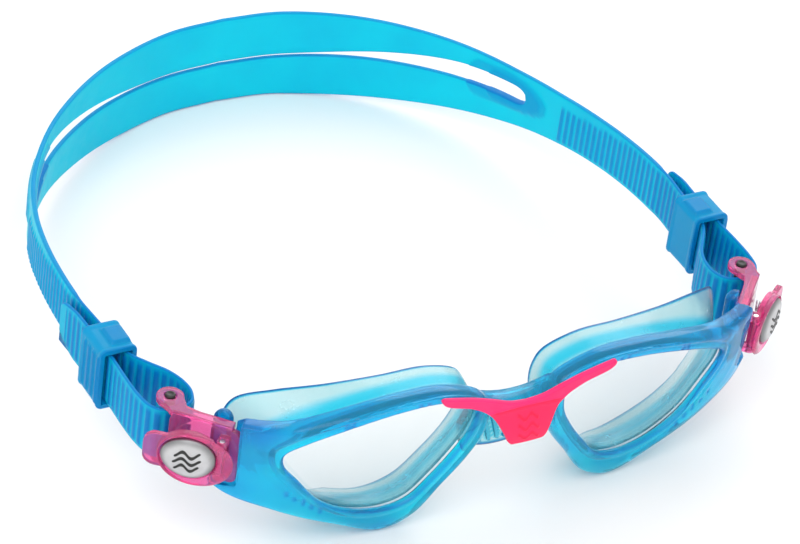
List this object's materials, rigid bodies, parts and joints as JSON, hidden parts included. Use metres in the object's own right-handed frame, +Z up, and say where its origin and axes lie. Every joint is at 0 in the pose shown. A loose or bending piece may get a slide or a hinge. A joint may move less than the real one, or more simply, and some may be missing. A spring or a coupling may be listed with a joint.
{
  "type": "swim goggles",
  "caption": "Swim goggles with framed lenses, a soft face skirt, a bridge cover, a split head strap, sliding strap keepers and side buckles with sprung release levers on rollers.",
  "frame": {"origin": "on the table, under the middle of the goggles' box", "axes": "+Z up from the table, +Y from the lenses towards the back of the strap, +X to the wearer's left"},
  "size_m": [0.1658, 0.1738, 0.0393],
  "materials": {
    "frame": "translucent blue, smooth",
    "skirt": "clear silicone with a blue tint",
    "lens": "clear, polished",
    "cover": "opaque pink, satin",
    "strap": "translucent cyan silicone",
    "buckle": "translucent pink, smooth",
    "roller": "black, smooth",
    "badge": "satin silver",
    "steel": "bright wire"
  },
  "bodies": {
    "goggles": {"front_frame": "frame", "face_skirt": "skirt", "bridge_cover": "cover", "head_strap": "strap", "lens_left": "lens", "lens_right": "lens", "buckle_body_left": "buckle", "buckle_body_right": "buckle", "lever_spring_left": "steel", "lever_spring_right": "steel"},
    "lever_left": {"release_lever_left": "buckle", "lever_badge_left": "badge", "lever_pin_left": "steel"},
    "lever_right": {"release_lever_right": "buckle", "lever_badge_right": "badge", "lever_pin_right": "steel"},
    "roller_left": {"strap_roller_left": "roller"},
    "roller_right": {"strap_roller_right": "roller"},
    "keeper_left": {"keeper_left": "strap"},
    "keeper_right": {"keeper_right": "strap"}
  },
  "joints": [
    {"name": "release_left", "type": "hinge", "parent": "goggles", "child": "lever_left", "pos_m": [0.06876, -0.07133, 0.0252], "axis": [0, 0, 1], "range_deg": [0, 8], "stiffness_Nm_per_rad": 0.02, "deforming": ["lever_spring_left"]},
    {"name": "release_right", "type": "hinge", "parent": "goggles", "child": "lever_right", "pos_m": [-0.06876, -0.07133, 0.0252], "axis": [0, 0, -1], "range_deg": [0, 8], "stiffness_Nm_per_rad": 0.02, "deforming": ["lever_spring_right"]},
    {"name": "roller_left_spin", "type": "hinge", "parent": "goggles", "child": "roller_left", "pos_m": [0.074, -0.05551, 0.02425], "axis": [0, 0, 1], "continuous": true},
    {"name": "roller_right_spin", "type": "hinge", "parent": "goggles", "child": "roller_right", "pos_m": [-0.074, -0.05551, 0.02425], "axis": [0, 0, 1], "continuous": true},
    {"name": "keeper_left_slide", "type": "slide", "parent": "goggles", "child": "keeper_left", "axis": [0, 1, 0], "range_m": [0, 0.004]},
    {"name": "keeper_right_slide", "type": "slide", "parent": "goggles", "child": "keeper_right", "axis": [0, 1, 0], "range_m": [0, 0.004]}
  ]
}
